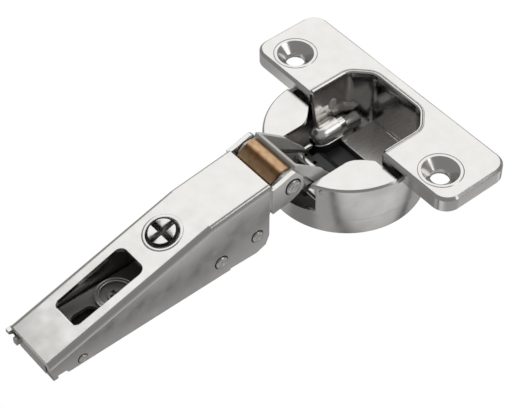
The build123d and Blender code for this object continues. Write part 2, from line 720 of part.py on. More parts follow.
# ---- clip channel inside the arm ----
with BuildPart() as clip_channel:
    clip_inside = CLIP_HALF - CLIP_T
    add(side_plate(-CLIP_HALF, CLIP_HALF, [
        *around(PIVOT_E, [(2.6, -4.2), (2.9, -1.9), (2.4, 0.9), (1.0, 2.4), (-1.2, 2.4), (-2.6, 0.7)]),
        (CLIP_WEB_FRONT - 0.6, CLIP_WEB_TOP),
        (CLIP_REAR, CLIP_WEB_TOP),
        (CLIP_REAR, CLIP_BOTTOM),
        # shallow seat, then the two hook teeth at the front
        (PIVOT_E[0] - 13.4, CLIP_BOTTOM),
        (PIVOT_E[0] - 12.6, CLIP_BOTTOM + 1.1),
        (PIVOT_E[0] - 10.2, CLIP_BOTTOM + 1.1),
        (PIVOT_E[0] - 9.4, CLIP_BOTTOM),
        (PIVOT_E[0] - 2.8, CLIP_BOTTOM),
        *around(PIVOT_E, [(-2.4, -4.8), (-1.1, -4.8)]),
        (PIVOT_E[0] - 0.8, CLIP_BOTTOM),
        (PIVOT_E[0] + 0.4, CLIP_BOTTOM),
        *around(PIVOT_E, [(0.8, -4.7), (2.0, -4.7)]),
    ]))
    # open between the cheeks, in front of, under and behind the web
    under_web = CLIP_WEB_TOP - CLIP_T
    add(side_plate(-clip_inside, clip_inside, [
        (CLIP_WEB_FRONT, CLIP_WEB_TOP + 8),
        (CLIP_WEB_FRONT, under_web),
        (CLIP_WEB_REAR, under_web),
        (CLIP_WEB_REAR, CLIP_WEB_TOP + 8),
        (CLIP_REAR - 1, CLIP_WEB_TOP + 8),
        (CLIP_REAR - 1, CLIP_BOTTOM - 8),
        (PIVOT_E[0] + 8, CLIP_BOTTOM - 8),
        (PIVOT_E[0] + 8, CLIP_WEB_TOP + 8),
    ]), mode=Mode.SUBTRACT)
    fillet([e for e in clip_channel.edges().filter_by(Axis.Y)
            if abs(abs(e.center().X) - CLIP_HALF) < 0.01 and e.center().Z > CLIP_WEB_TOP - 0.01],
           CLIP_BEND_R)
    # slots that let the channel tilt on its rear pin
    with BuildSketch(Plane.YZ.offset(-CLIP_HALF - 1)):
        with Locations(PIVOT_E):
            SlotCenterToCenter(CLIP_SLOT_HALF * 2, (PIN_E_R + 2 * RUNNING_FIT) * 2, rotation=90)
    extrude(amount=CLIP_HALF * 2 + 2, mode=Mode.SUBTRACT)
    add(cross_pin(-CLIP_HALF - 1, CLIP_HALF + 1, PIVOT_P, PIN_P_R + RUNNING_FIT), mode=Mode.SUBTRACT)
    # screw hole, cam hole and oval in the web
    foot_y = SIDE_HOLE_Y + (top_height(SIDE_HOLE_Y) - CLIP_WEB_TOP) * tan(rear_slope)
    with BuildSketch(Plane.XY.offset(CLIP_WEB_TOP + 1)):
        with Locations((0, foot_y + CLIP_T / 2 * tan(rear_slope))):
            Circle(SHANK_R + 0.5)
        with Locations((0, CAM_Y)):
            Circle(CAM_BOSS_R + RUNNING_FIT)
        with Locations((0, OVAL_Y)):
            SlotCenterToCenter(2.4, 3.8, rotation=90)
    extrude(amount=-CLIP_T - 2, mode=Mode.SUBTRACT)
clip_channel.part.label = "clip_channel"
export_step(clip_channel.part, "parts/clip_channel.step")

# ---- side-adjusting screw, its head crossed by two deep slots ----
with BuildPart() as side_screw:
    with BuildSketch(screw_seat.offset(HEAD_PROUD)):
        Circle(HEAD_R)
    extrude(amount=-HEAD_PROUD - COLLAR_DROP)
    with BuildSketch(screw_seat.offset(-COLLAR_DROP)):
        Circle(COLLAR_R)
    extrude(amount=-COLLAR_T)
    with BuildSketch(screw_seat.offset(-COLLAR_DROP - COLLAR_T)):
        Circle(SHANK_R)
    extrude(amount=COLLAR_DROP + COLLAR_T - SHANK_END)
    with BuildSketch(screw_seat.offset(HEAD_PROUD)):
        Rectangle(HEAD_R * 2 + 1, HEAD_SLOT)
        Rectangle(HEAD_SLOT, HEAD_R * 2 + 1)
    extrude(amount=-HEAD_SLOT_DEPTH, mode=Mode.SUBTRACT)
side_screw.part.label = "side_screw"
export_step(side_screw.part, "parts/side_screw.step")

# ---- depth cam and the washer that holds it under the web ----
with BuildPart() as depth_cam:
    with BuildSketch(Plane.XY.offset(CAM_SIT)):
        with Locations((0, CAM_Y)):
            Circle(CAM_R)
    extrude(amount=CAM_T)
    with BuildSketch(Plane.XY.offset(CAM_SIT + CAM_T)):
        with Locations((0, CAM_Y)):
            Circle(CAM_R - 0.7)
            Circle(1.7, mode=Mode.SUBTRACT)
    extrude(amount=-0.5, mode=Mode.SUBTRACT)
    with BuildSketch(Plane.XY.offset(CAM_SIT)):
        with Locations((0, CAM_Y)):
            Circle(CAM_BOSS_R)
    extrude(amount=CLIP_WEB_TOP - CLIP_T - CAM_SIT - FIT)
    with BuildSketch(Plane.XY.offset(CAM_SIT + CAM_T)):
        with Locations((0, CAM_Y)):
            Rectangle(2.4, 0.7)
            Rectangle(0.7, 2.4)
    extrude(amount=-0.7, mode=Mode.SUBTRACT)
depth_cam.part.label = "depth_cam"
export_step(depth_cam.part, "parts/depth_cam.step")

with BuildPart() as cam_washer:
    with BuildSketch(Plane.XY.offset(CLIP_WEB_TOP - CLIP_T - FIT)):
        with Locations((0, CAM_Y)):
            Circle(WASHER_R)
    extrude(amount=-0.8)
cam_washer.part.label = "cam_washer"
export_step(cam_washer.part, "parts/cam_washer.step")

# ---- release lever, a U pressed round the rear pin, with a thumb bar ----
with BuildPart() as release_lever:
    lever_low = -10.1
    lever_inside = LEVER_OUT - LEVER_T
    add(side_plate(-LEVER_OUT, LEVER_OUT, [
        *around(PIVOT_P, [(1.3, -0.6), (1.2, 0.7), (0.4, 1.4)]),
        (LEVER_REAR, LEVER_TOP),
        (LEVER_REAR, lever_low),
        (PIVOT_P[0] + 0.2, lever_low),
    ]))
    # open below the top, up to the apron at the rear, and open in front of the pin
    add(side_plate(-lever_inside, lever_inside, [
        (LEVER_REAR + LEVER_T, lever_low - 1),
        (LEVER_REAR + LEVER_T, LEVER_TOP - LEVER_T),
        (PIVOT_P[0] - 1.8, LEVER_TOP - LEVER_T),
        (PIVOT_P[0] - 1.8, LEVER_TOP + 1),
        (PIVOT_P[0] + 3, LEVER_TOP + 1),
        (PIVOT_P[0] + 3, lever_low - 1),
    ]), mode=Mode.SUBTRACT)
    # thumb bar under the flanges, and the catch behind it
    add(side_plate(-LEVER_BAR_HALF, LEVER_BAR_HALF, [
        (LEVER_REAR + 0.2, lever_low - 0.2),
        (LEVER_REAR + 1.3, lever_low - 0.2),
        (LEVER_REAR + 1.3, lever_low + 0.6),
        (LEVER_REAR + 0.2, lever_low + 0.6),
    ]))
    add(side_plate(-LEVER_OUT - 0.6, -LEVER_OUT + 0.5, [
        (LEVER_REAR - 1.0, LEVER_TOP - 1.5),
        (LEVER_REAR + 0.6, LEVER_TOP - 1.5),
        (LEVER_REAR + 0.6, LEVER_TOP),
        (LEVER_REAR - 1.0, LEVER_TOP),
    ]))
    add(cross_pin(-ARM_HALF, ARM_HALF, PIVOT_P, PIN_P_R + RUNNING_FIT), mode=Mode.SUBTRACT)
release_lever.part.label = "release_lever"
export_step(release_lever.part, "parts/release_lever.step")

with BuildPart() as lever_spring:
    pitch = LEVER_COIL_HALF * 2 / LEVER_COIL_TURNS
    leg_dir = (cos(LEVER_LEG_LIFT), sin(LEVER_LEG_LIFT))
    add(coil_with_leg(-LEVER_COIL_HALF, 1, PIVOT_P, leg_dir, LEVER_COIL_R, LEVER_WIRE_R, 4,
                      pitch, LEVER_COIL_TURNS, LEVER_LEG))
lever_spring.part.label = "lever_spring"
export_step(lever_spring.part, "parts/lever_spring.step")
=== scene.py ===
import json
import math

import bmesh
import bpy
from mathutils import Matrix, Vector


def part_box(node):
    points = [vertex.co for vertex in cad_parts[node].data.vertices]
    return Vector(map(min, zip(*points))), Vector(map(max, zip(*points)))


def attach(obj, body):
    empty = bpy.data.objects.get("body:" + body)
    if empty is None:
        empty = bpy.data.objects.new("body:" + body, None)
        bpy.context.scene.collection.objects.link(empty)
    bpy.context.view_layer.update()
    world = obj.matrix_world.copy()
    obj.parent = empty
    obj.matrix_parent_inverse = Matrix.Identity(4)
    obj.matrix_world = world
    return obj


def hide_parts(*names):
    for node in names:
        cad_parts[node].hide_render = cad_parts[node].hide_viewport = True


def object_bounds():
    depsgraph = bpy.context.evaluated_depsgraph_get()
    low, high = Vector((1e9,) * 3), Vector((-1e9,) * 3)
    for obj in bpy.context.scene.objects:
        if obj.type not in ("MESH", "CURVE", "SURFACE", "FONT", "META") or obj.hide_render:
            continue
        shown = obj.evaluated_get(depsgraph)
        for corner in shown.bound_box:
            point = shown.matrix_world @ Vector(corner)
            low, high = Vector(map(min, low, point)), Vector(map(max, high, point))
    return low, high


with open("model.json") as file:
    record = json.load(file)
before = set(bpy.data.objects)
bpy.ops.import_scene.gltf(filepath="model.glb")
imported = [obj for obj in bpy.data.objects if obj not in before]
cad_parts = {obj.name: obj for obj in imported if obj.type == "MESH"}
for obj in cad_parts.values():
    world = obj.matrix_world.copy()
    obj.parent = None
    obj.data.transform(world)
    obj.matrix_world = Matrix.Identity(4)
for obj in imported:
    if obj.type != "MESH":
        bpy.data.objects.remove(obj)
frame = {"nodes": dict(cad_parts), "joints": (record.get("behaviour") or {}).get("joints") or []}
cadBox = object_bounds()
scene = bpy.context.scene
scene.view_settings.view_transform = "Standard"
mm = 0.001
joints = {joint["name"]: joint for joint in frame["joints"]}


def pivotMm(joint):
    return Vector(joints[joint]["pos_m"]) / mm


def boxMm(node):
    low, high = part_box(node)
    return low / mm, high / mm


def linear(hexColour):
    rgb = [int(hexColour[i:i + 2], 16) / 255 for i in (1, 3, 5)]
    return [c / 12.92 if c < 0.04045 else ((c + 0.055) / 1.055) ** 2.4 for c in rgb] + [1.0]


def shade(hexColour, factor):
    return [c * factor for c in linear(hexColour)[:3]] + [1.0]


def addNode(tree, kind, settings=None, links=None):
    # a setting is an input of the node, by name or number, or else one of its properties
    node = tree.nodes.new(kind)
    for name, value in (settings or {}).items():
        if isinstance(name, int) or name in node.inputs:
            node.inputs[name].default_value = value
        else:
            setattr(node, name, value)
    for name, source in (links or {}).items():
        tree.links.new(source, node.inputs[name])
    return node


# three-quarter view from above, with the arm pointing down to the left
camera = {
    "position": (175.73 * mm, -166.56 * mm, 244.52 * mm),
    "right": (0.6385, 0.7696, -0.0022),
    "up": (-0.5692, 0.4742, 0.6717),
    "focalPixels": 1653.43,
    "imageWidth": 529,
    "shiftX": -0.0048,
    "sensorWidth": 36,
    "near": 0.01,
    "far": 20,
}


def placeCamera(spec):
    data = bpy.data.cameras.new("viewCamera")
    data.sensor_width = spec["sensorWidth"]
    data.lens = spec["sensorWidth"] * spec["focalPixels"] / spec["imageWidth"]
    data.shift_x = spec["shiftX"]
    data.clip_start, data.clip_end = spec["near"], spec["far"]
    obj = bpy.data.objects.new("viewCamera", data)
    scene.collection.objects.link(obj)
    right = Vector(spec["right"]).normalized()
    back = right.cross(Vector(spec["up"])).normalized()
    up = back.cross(right).normalized()
    obj.matrix_world = Matrix.Translation(spec["position"]) @ Matrix((right, up, back)).transposed().to_4x4()
    scene.camera = obj


placeCamera(camera)
print("camera placed")


# metals: the colour, how dark its pattern goes, the pattern's real size and how far it stands up
nickelPlate = {"colour": "#DEDCD9", "dark": 0.9, "roughness": 0.17, "waveMm": 3.0, "bump": 0.03}
nickelHood = {"colour": "#ECEAE6", "dark": 0.95, "metallic": 0.8, "roughness": 0.2, "waveMm": 2, "bump": 0.01}
satinNickel = {"colour": "#CFCDC9", "dark": 0.85, "roughness": 0.4, "grainMm": 0.3, "bump": 0.06}
linkPlate = {
    "colour": "#E6E4E0", "dark": 0.88, "metallic": 0.3, "roughness": 0.42, "grainMm": 0.3, "bump": 0.06,
}
brushedNickel = {"colour": "#C6C3BE", "dark": 0.7, "roughness": 0.28, "lineMm": 0.12, "bump": 0.14}
turnedSteel = {"colour": "#D6D4D0", "dark": 0.85, "roughness": 0.2, "grainMm": 0.25, "bump": 0.05}
springWire = {"colour": "#A3A09C", "dark": 0.8, "roughness": 0.26, "grainMm": 0.2, "bump": 0.05}
clipSteel = {
    "colour": "#A5A3A0", "dark": 0.75, "metallic": 0.6, "roughness": 0.42, "grainMm": 0.35, "bump": 0.1,
}
# painted shade: the outer link is given a darker steel to stand for the shade it lies in
outerLinkShade = {"colour": "#84827F", "dark": 0.8, "roughness": 0.46, "grainMm": 0.3, "bump": 0.06}
# painted shade: a dark steel laid in recesses, gaps and under openings where only shade falls
recessShade = {"colour": "#3A3937", "dark": 0.7, "roughness": 0.5, "grainMm": 0.3, "bump": 0.08}
bronzeSheet = {
    "colour": "#CDB598", "dark": 0.8, "roughness": 0.33, "lineMm": 0.1, "bump": 0.1,
    "spot": "#CC9C82", "spotMm": 1.3, "spotFrom": 0.45, "spotTo": 0.75, "spotDepth": 0.6,
    # painted shade where the sheet turns over and a painted highlight on the crown, by millimetres along y
    # from the knuckle
    "paintedLightBands": [(-4.8, "#FFF4E4"), (-3.0, "#F0E0CC"), (-2.2, "#A08A74"), (-1.75, "#8A735C"), (-1.1, "#FFF4E6"),
              (1.2, "#E4D4BE")],
}
acetal = {"colour": "#242527", "roughness": 0.38, "grainMm": 0.25, "bump": 0.08}
# painted shade: a grey plastic for the sheet in front of the damper tray, where the cup's floor lies in shade
greyAcetal = {"colour": "#77777A", "roughness": 0.5, "grainMm": 0.25, "bump": 0.08}
# what all the metals share: edges eased by the press, and how their gloss follows the pattern
metalSurface = {"edgeMm": 0.16, "edgeSamples": 4, "low": 0.3, "high": 0.7, "glossier": 0.8, "duller": 1.25}
plasticSurface = {"pale": 1.5, "ior": 1.48, "reliefMm": 0.05}


def newMaterial(name):
    mat = bpy.data.materials.new(name)
    mat.use_nodes = True
    return mat, mat.node_tree, mat.node_tree.nodes["Principled BSDF"]


def finishMetal(tree, shader, spec, pattern, reliefMm):
    # one pattern drives the tint, the gloss and the relief, as wear and plating do together
    shared = metalSurface
    shader.inputs["Metallic"].default_value = spec.get("metallic", 1.0)
    tint = addNode(tree, "ShaderNodeMix", {
        "data_type": "RGBA", 6: linear(spec["colour"]), 7: shade(spec["colour"], spec["dark"]),
    }, {"Factor": pattern})
    tree.links.new(tint.outputs[2], shader.inputs["Base Color"])
    gloss = addNode(tree, "ShaderNodeMapRange", {
        "From Min": shared["low"], "From Max": shared["high"],
        "To Min": spec["roughness"] * shared["glossier"], "To Max": spec["roughness"] * shared["duller"],
    }, {"Value": pattern})
    tree.links.new(gloss.outputs["Result"], shader.inputs["Roughness"])
    rounded = addNode(tree, "ShaderNodeBevel", {
        "samples": shared["edgeSamples"], "Radius": shared["edgeMm"] * mm,
    })
    relief = addNode(tree, "ShaderNodeBump", {"Strength": spec["bump"], "Distance": reliefMm * mm},
                     {"Height": pattern, "Normal": rounded.outputs["Normal"]})
    tree.links.new(relief.outputs["Normal"], shader.inputs["Normal"])


def platedNickel(name, spec):
    # bright nickel on smooth pressed sheet: a soft mirror with the press's faint waviness
    mat, tree, shader = newMaterial(name)
    place = addNode(tree, "ShaderNodeTexCoord")
    wave = addNode(tree, "ShaderNodeTexNoise", {"Scale": 1 / (spec["waveMm"] * mm), "Detail": 2.0},
                   {"Vector": place.outputs["Object"]})
    finishMetal(tree, shader, spec, wave.outputs["Fac"], 0.06)
    return mat


def grainedMetal(name, spec):
    # tumbled, turned or coated steel: an even fine grain that widens the highlights
    mat, tree, shader = newMaterial(name)
    place = addNode(tree, "ShaderNodeTexCoord")
    grain = addNode(tree, "ShaderNodeTexNoise", {"Scale": 1 / (spec["grainMm"] * mm), "Detail": 4.0},
                    {"Vector": place.outputs["Object"]})
    finishMetal(tree, shader, spec, grain.outputs["Fac"], 0.05)
    return mat


def brushedMetal(name, spec, along):
    # drawn through a brush or rollers: long fine lines in one direction, coarser than real so that they show
    mat, tree, shader = newMaterial(name)
    place = addNode(tree, "ShaderNodeTexCoord")
    stretch = [1 / (spec["lineMm"] * mm)] * 3
    stretch[along] *= 0.03
    mapping = addNode(tree, "ShaderNodeMapping", {"Scale": stretch}, {"Vector": place.outputs["Object"]})
    lines = addNode(tree, "ShaderNodeTexNoise", {"Scale": 1.0, "Detail": 3.0},
                    {"Vector": mapping.outputs["Vector"]})
    finishMetal(tree, shader, spec, lines.outputs["Fac"], 0.03)
    return mat


def tarnish(mat, spec, pivotY):
    # painted light across the sheet: bands of painted highlight on the crown and painted shade at the turn,
    # broken up by reddish spots
    tree = mat.node_tree
    shader = tree.nodes["Principled BSDF"]
    metal = shader.inputs["Base Color"].links[0].from_socket
    place = addNode(tree, "ShaderNodeTexCoord")
    split = addNode(tree, "ShaderNodeSeparateXYZ", {}, {0: place.outputs["Object"]})
    first, last = spec["paintedLightBands"][0][0], spec["paintedLightBands"][-1][0]
    share = addNode(tree, "ShaderNodeMapRange", {
        "From Min": (pivotY + first) * mm, "From Max": (pivotY + last) * mm,
    }, {"Value": split.outputs["Y"]})
    stops = [((y - first) / (last - first), linear(colour)) for y, colour in spec["paintedLightBands"]]
    ramp = colourRamp(tree, stops, share.outputs["Result"])
    lightPainted = addNode(tree, "ShaderNodeMix", {"data_type": "RGBA", "blend_type": "MULTIPLY", "Factor": 1.0},
                     {6: metal, 7: ramp.outputs["Color"]})
    spots = addNode(tree, "ShaderNodeTexNoise", {"Scale": 1 / (spec["spotMm"] * mm), "Detail": 4.0},
                    {"Vector": place.outputs["Object"]})
    amount = addNode(tree, "ShaderNodeMapRange", {
        "From Min": spec["spotFrom"], "From Max": spec["spotTo"], "To Max": spec["spotDepth"],
    }, {"Value": spots.outputs["Fac"]})
    spotted = addNode(tree, "ShaderNodeMix", {
        "data_type": "RGBA", "blend_type": "MULTIPLY", 7: linear(spec["spot"]),
    }, {"Factor": amount.outputs["Result"], 6: lightPainted.outputs[2]})
    tree.links.new(spotted.outputs[2], shader.inputs["Base Color"])


def colourRamp(tree, stops, source):
    ramp = addNode(tree, "ShaderNodeValToRGB", {}, {"Fac": source})
    elements = ramp.color_ramp.elements
    for i, (at, colour) in enumerate(stops):
        stop = elements[i] if i < 2 else elements.new(at)
        stop.position = at
        stop.color = colour
    return ramp


def mouldedPlastic(name, spec):
    # acetal from a fine-eroded mould: dull sheen with a light grain
    mat, tree, shader = newMaterial(name)
    place = addNode(tree, "ShaderNodeTexCoord")
    grain = addNode(tree, "ShaderNodeTexNoise", {"Scale": 1 / (spec["grainMm"] * mm), "Detail": 3.0},
                    {"Vector": place.outputs["Object"]})
    tint = addNode(tree, "ShaderNodeMix", {
        "data_type": "RGBA", 6: linear(spec["colour"]), 7: shade(spec["colour"], plasticSurface["pale"]),
    }, {"Factor": grain.outputs["Fac"]})
    tree.links.new(tint.outputs[2], shader.inputs["Base Color"])
    shader.inputs["Roughness"].default_value = spec["roughness"]
    shader.inputs["IOR"].default_value = plasticSurface["ior"]
    relief = addNode(tree, "ShaderNodeBump", {
        "Strength": spec["bump"], "Distance": plasticSurface["reliefMm"] * mm,
    }, {"Height": grain.outputs["Fac"]})
    tree.links.new(relief.outputs["Normal"], shader.inputs["Normal"])
    return mat


knuckle = pivotMm("arm_turn")
brightNickel = platedNickel("brightNickelPlate", nickelPlate)
hoodNickel = platedNickel("satinNickelHood", nickelHood)
linkNickel = grainedMetal("tumbledNickelLinks", linkPlate)
tumbledNickel = grainedMetal("tumbledNickelPlate", satinNickel)
floorNickel = brushedMetal("brushedNickelSheet", brushedNickel, 1)
pinSteel = grainedMetal("turnedSteelPins", turnedSteel)
wireSteel = grainedMetal("drawnSpringWire", springWire)
darkSteel = grainedMetal("zincedClipSteel", clipSteel)
shadowSteel = grainedMetal("tumbledDarkSteel", outerLinkShade)
paintedShadeSteel = grainedMetal("phosphatedRecess", recessShade)
bronze = brushedMetal("rolledBronzeSheet", bronzeSheet, 0)
tarnish(bronze, bronzeSheet, knuckle.y)
shadeGreyPlastic = mouldedPlastic("greyAcetal", greyAcetal)
plastic = mouldedPlastic("mouldedAcetal", acetal)

finishes = {
    "hinge_cup": brightNickel,
    "boss_plate": brightNickel,
    "cup_floor_plate": floorNickel,
    "damper_tray": plastic,
    "damper_cylinder": pinSteel,
    "damper_hood": brightNickel,
    "inner_cup_pin": pinSteel,
    "outer_cup_pin": pinSteel,
    "damper_slider": plastic,
    "damper_rod": pinSteel,
    "inner_link": linkNickel,
    "spring_roll": bronze,
    "closing_spring": wireSteel,
    "outer_link": shadowSteel,
    "hinge_arm": brightNickel,
    "arm_front_pin": pinSteel,
    "arm_link_pin": pinSteel,
    "channel_rivet": pinSteel,
    "lever_pin": pinSteel,
    "clip_channel": darkSteel,
    "lever_spring": wireSteel,
    "side_screw": brightNickel,
    "depth_cam": darkSteel,
    "cam_washer": pinSteel,
    "release_lever": tumbledNickel,
}
for name, obj in frame["nodes"].items():
    obj.data.materials.clear()
    obj.data.materials.append(finishes[name])
print("finishes given to", len(finishes), "nodes")


def addPiece(name, data, body):
    obj = bpy.data.objects.new(name, data)
    scene.collection.objects.link(obj)
    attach(obj, body)
    return obj


# meshes are made in millimetres and scaled as each piece is placed
def placePiece(name, mesh, material, body, stands=()):
    mesh.transform(Matrix.Scale(mm, 4))
    mesh.materials.append(material)
    obj = addPiece(name, mesh, body)
    if stands:
        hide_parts(*stands)


def finishMesh(name, bm, sharpDegrees):
    bmesh.ops.recalc_face_normals(bm, faces=bm.faces)
    mesh = bpy.data.meshes.new(name)
    bm.to_mesh(mesh)
    bm.free()
    mesh.shade_smooth()
    if sharpDegrees:
        mesh.set_sharp_from_angle(angle=math.radians(sharpDegrees))
    return mesh


def meshFrom(name, rings, closed=False, sharpDegrees=None):
    # rings of points joined side to side: closed joins the last to the first, and else both ends are capped
    bm = bmesh.new()
    rows = [[bm.verts.new(p) for p in ring] for ring in rings]
    count = len(rows[0])
    for a, b in zip(rows, rows[1:] + (rows[:1] if closed else [])):
        for i in range(count):
            j = (i + 1) % count
            bm.faces.new((a[i], a[j], b[j], b[i]))
    if not closed:
        bm.faces.new(rows[0][::-1])
        bm.faces.new(rows[-1])
    return finishMesh(name, bm, sharpDegrees)


def evenSteps(first, last, count):
    return [first + (last - first) * i / count for i in range(count + 1)]


def turnSteps(count):
    return evenSteps(0, 2 * math.pi, count)[:-1]


def loopAt(centre, u, v, radius, count):
    centre, u, v = Vector(centre), Vector(u), Vector(v)
    return [centre + (u * math.cos(t) + v * math.sin(t)) * radius for t in turnSteps(count)]


def lathe(name, profile, origin, axis, segments, sharpDegrees=None):
    # profile points are (along the axis, out from it)
    axis = Vector(axis).normalized()
    u = axis.orthogonal().normalized()
    v = axis.cross(u)
    rings = [loopAt(Vector(origin) + axis * along, u, v, out, segments) for along, out in profile]
    return meshFrom(name, rings, sharpDegrees=sharpDegrees)


def wirePiece(name, paths, radius, material, body, stands=()):
    curve = bpy.data.curves.new(name, "CURVE")
    curve.dimensions = "3D"
    curve.bevel_depth = radius * mm
    curve.bevel_resolution = 4
    curve.use_fill_caps = True
    for points in paths:
        line = curve.splines.new("POLY")
        line.points.add(len(points) - 1)
        for curvePoint, p in zip(line.points, points):
            curvePoint.co = (*(Vector(p) * mm), 1)
    curve.materials.append(material)
    obj = addPiece(name, curve, body)
    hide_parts(*stands)


# rivets: shafts with heads spun over by a four-armed punch, each in a ring of painted shade where it meets
# the sheet
rivets = {
    "arm_front_pin": {"shaft": 1.2, "rise": 0.55},
    "arm_link_pin": {"shaft": 1.0, "rise": 0.5},
    "channel_rivet": {"shaft": 1.1, "rise": 0.5},
    "lever_pin": {"shaft": 0.8, "rise": 0.35},
}
punch = {
    "arms": 4, "markDepth": 0.16, "markAt": 0.42, "markWidth": 0.36, "segments": 48, "sharp": 38,
    # shares of the head's radius and of its rise, from the sheet to the middle of the head
    "profile": [(1.0, 0.0), (1.0, 0.35), (0.97, 0.6), (0.88, 0.82), (0.74, 0.94), (0.6, 1.0), (0.45, 0.97),
                (0.3, 0.84), (0.12, 0.72)],
    # the ring of painted shade around each head: heights above the sheet and shares of the head's radius
    "ring": [(-0.02, 0.9), (0.025, 0.98), (0.03, 1.1), (-0.02, 1.2)],
}


def spunHead(middle, side, face, head, rise):
    rings = []
    for share, lift in punch["profile"]:
        inside = max(0.0, 1 - abs(share - punch["markAt"]) / punch["markWidth"])
        loop = []
        for t in turnSteps(punch["segments"]):
            mark = punch["markDepth"] * inside * max(0.0, math.cos(punch["arms"] * t)) ** 2
            across = side * (face + rise * lift - mark)
            loop.append(middle + Vector((across, head * share * math.cos(t), head * share * math.sin(t))))
        rings.append(loop)
    return rings


def rivet(node, spec):
    low, high = boxMm(node)
    middle = (low + high) / 2
    face = (high.x - low.x) / 2 - spec["rise"]
    head = (high.y - low.y) / 2
    left, right = (spunHead(middle, side, face, head, spec["rise"]) for side in (-1, 1))
    ends = {"left": Vector((-1, 0, 0)), "right": Vector((1, 0, 0))}
    necks = [loopAt(middle + out * face, (0, 1, 0), (0, 0, 1), spec["shaft"], punch["segments"])
             for out in ends.values()]
    mesh = meshFrom(node + "Spun", left[::-1] + necks + right, sharpDegrees=punch["sharp"])
    placePiece(node + "Spun", mesh, pinSteel, "arm", (node,))
    profile = [(up, head * share) for up, share in punch["ring"]]
    for hand, out in ends.items():
        ring = lathe(node + "Seat", profile, middle + out * face, out, punch["segments"])
        placePiece(node + "Seat_" + hand, ring, paintedShadeSteel, "arm")


for node, spec in rivets.items():
    rivet(node, spec)
print("rivets made")


# springs: round wire, coiled about the pivot and drawn out into a leg
closingSpring = {"coil": 1.85, "wire": 0.385, "pitch": 0.84, "turns": 2, "start": 1.2}
leverSpring = {
    "coil": 1.12, "wire": 0.24, "pitch": 1.0667, "turns": 3, "start": -1.6, "leg": 5.0, "lift": 0.268,
}
coilSteps = 28  # straight lengths in one turn
legSteps = 4


def coilWithLeg(spec, pivot, start, side, along, leg):
    # along is the leg's direction seen from the side, as (y, z)
    out = (-along[1], along[0])
    points = []
    for t in evenSteps(0, 2 * math.pi * spec["turns"], coilSteps * spec["turns"]):
        c, s = math.cos(t) * spec["coil"], math.sin(t) * spec["coil"]
        points.append((start + side * spec["pitch"] * t / (2 * math.pi),
                       pivot.y + c * out[0] + s * along[0], pivot.z + c * out[1] + s * along[1]))
    # the leg drifts sideways as the coil did
    drift = spec["pitch"] / (2 * math.pi * spec["coil"])
    x, y, z = points[-1]
    for step in evenSteps(0, leg / math.hypot(1, drift), legSteps)[1:]:
        points.append((x + side * drift * step, y + along[0] * step, z + along[1] * step))
    return points


def makeClosingSpring(spec, pivot, far):
    reach = (far.y - pivot.y, far.z - pivot.z)
    leg = math.hypot(*reach)
    along = (reach[0] / leg, reach[1] / leg)
    coils = [coilWithLeg(spec, pivot, side * spec["start"], side, along, leg) for side in (-1, 1)]
    wirePiece("closingSpringWire", coils, spec["wire"], wireSteel, "inner_link",
              ("closing_spring",))


def makeLeverSpring(spec, pivot):
    along = (math.cos(spec["lift"]), math.sin(spec["lift"]))
    coil = coilWithLeg(spec, pivot, spec["start"], 1, along, spec["leg"])
    wirePiece("leverSpringWire", [coil], spec["wire"], wireSteel, "channel", ("lever_spring",))


makeClosingSpring(closingSpring, knuckle, pivotMm("door_swing"))
makeLeverSpring(leverSpring, pivotMm("release_lever_turn"))
print("springs wound")


# bronze roll: one bent sheet with every crease eased
roll = {
    "half": boxMm("spring_roll")[1].x, "t": 0.55, "rounds": 3, "sharp": 35,
    # the middle of the sheet, as (y, z) from the knuckle's pivot
    "path": [(0.85, 2.95), (-0.1, 3.33), (-1.8, 3.21), (-4.5, 1.1), (-4.3, 0.3)],
}


def easedPath(points, rounds):
    # each round cuts every corner at a quarter of its sides
    for _ in range(rounds):
        cut = [points[0]]
        for (ay, az), (by, bz) in zip(points, points[1:]):
            cut += [(ay + (by - ay) * k, az + (bz - az) * k) for k in (0.25, 0.75)]
        points = cut + [points[-1]]
    return points


def makeRoll(spec, pivot):
    path = easedPath(spec["path"], spec["rounds"])
    skins = [[], []]
    for i, (y, z) in enumerate(path):
        ay, az = path[max(0, i - 1)]
        by, bz = path[min(len(path) - 1, i + 1)]
        size = math.hypot(by - ay, bz - az)
        ny, nz = (bz - az) / size, -(by - ay) / size
        for skin, side in zip(skins, (0.5, -0.5)):
            skin.append((pivot.y + y + ny * side * spec["t"], pivot.z + z + nz * side * spec["t"]))
    outline = skins[0] + skins[1][::-1]
    rings = [[(x, y, z) for y, z in outline] for x in (-spec["half"], spec["half"])]
    mesh = meshFrom("rolledSheet", rings, sharpDegrees=spec["sharp"])
    placePiece("rolledSheet", mesh, bronze, "inner_link", ("spring_roll",))


makeRoll(roll, knuckle)
print("bronze roll made")


# polished rims on the depth cam, as (radius, height above its top)
camRims = {"rims": [(4.06, -0.01), (3.36, 0.02)], "wire": 0.13, "points": 72}


def makeCamRims(spec):
    centre = pivotMm("depth_cam_turn")
    centre.z = boxMm("depth_cam")[1].z
    paths = []
    for r, lift in spec["rims"]:
        loop = loopAt(centre + Vector((0, 0, lift)), (1, 0, 0), (0, 1, 0), r, spec["points"])
        paths.append(loop + loop[:1])
    wirePiece("depthCamRims", paths, spec["wire"], hoodNickel, "cam")


makeCamRims(camRims)
print("cam rims made")


# damper hood: a bullet nose on an arched tunnel, set about the damper's rod
hoodLow, hoodHigh = boxMm("damper_hood")
rodMiddle = sum(boxMm("damper_rod"), Vector()) / 2
hood = {
    "x": rodMiddle.x + 0.05, "z": rodMiddle.z + 1.2, "foot": rodMiddle.z + 0.4, "floor": hoodLow.z + 0.001,
    "front": hoodLow.y + 0.5, "shoulder": hoodLow.y + 3.5, "crest": hoodLow.y + 5.2,
    "step": hoodHigh.y - 1.9, "rear": hoodHigh.y, "ease": 0.35, "r": 2.5, "tip": 0.55, "tubeR": 1.65,
    "skin": 0.4, "bead": 0.16, "baseInset": 0.35, "baseSkin": 1.2,
    "noseSteps": 14, "archSteps": 24, "sharp": 40,
}


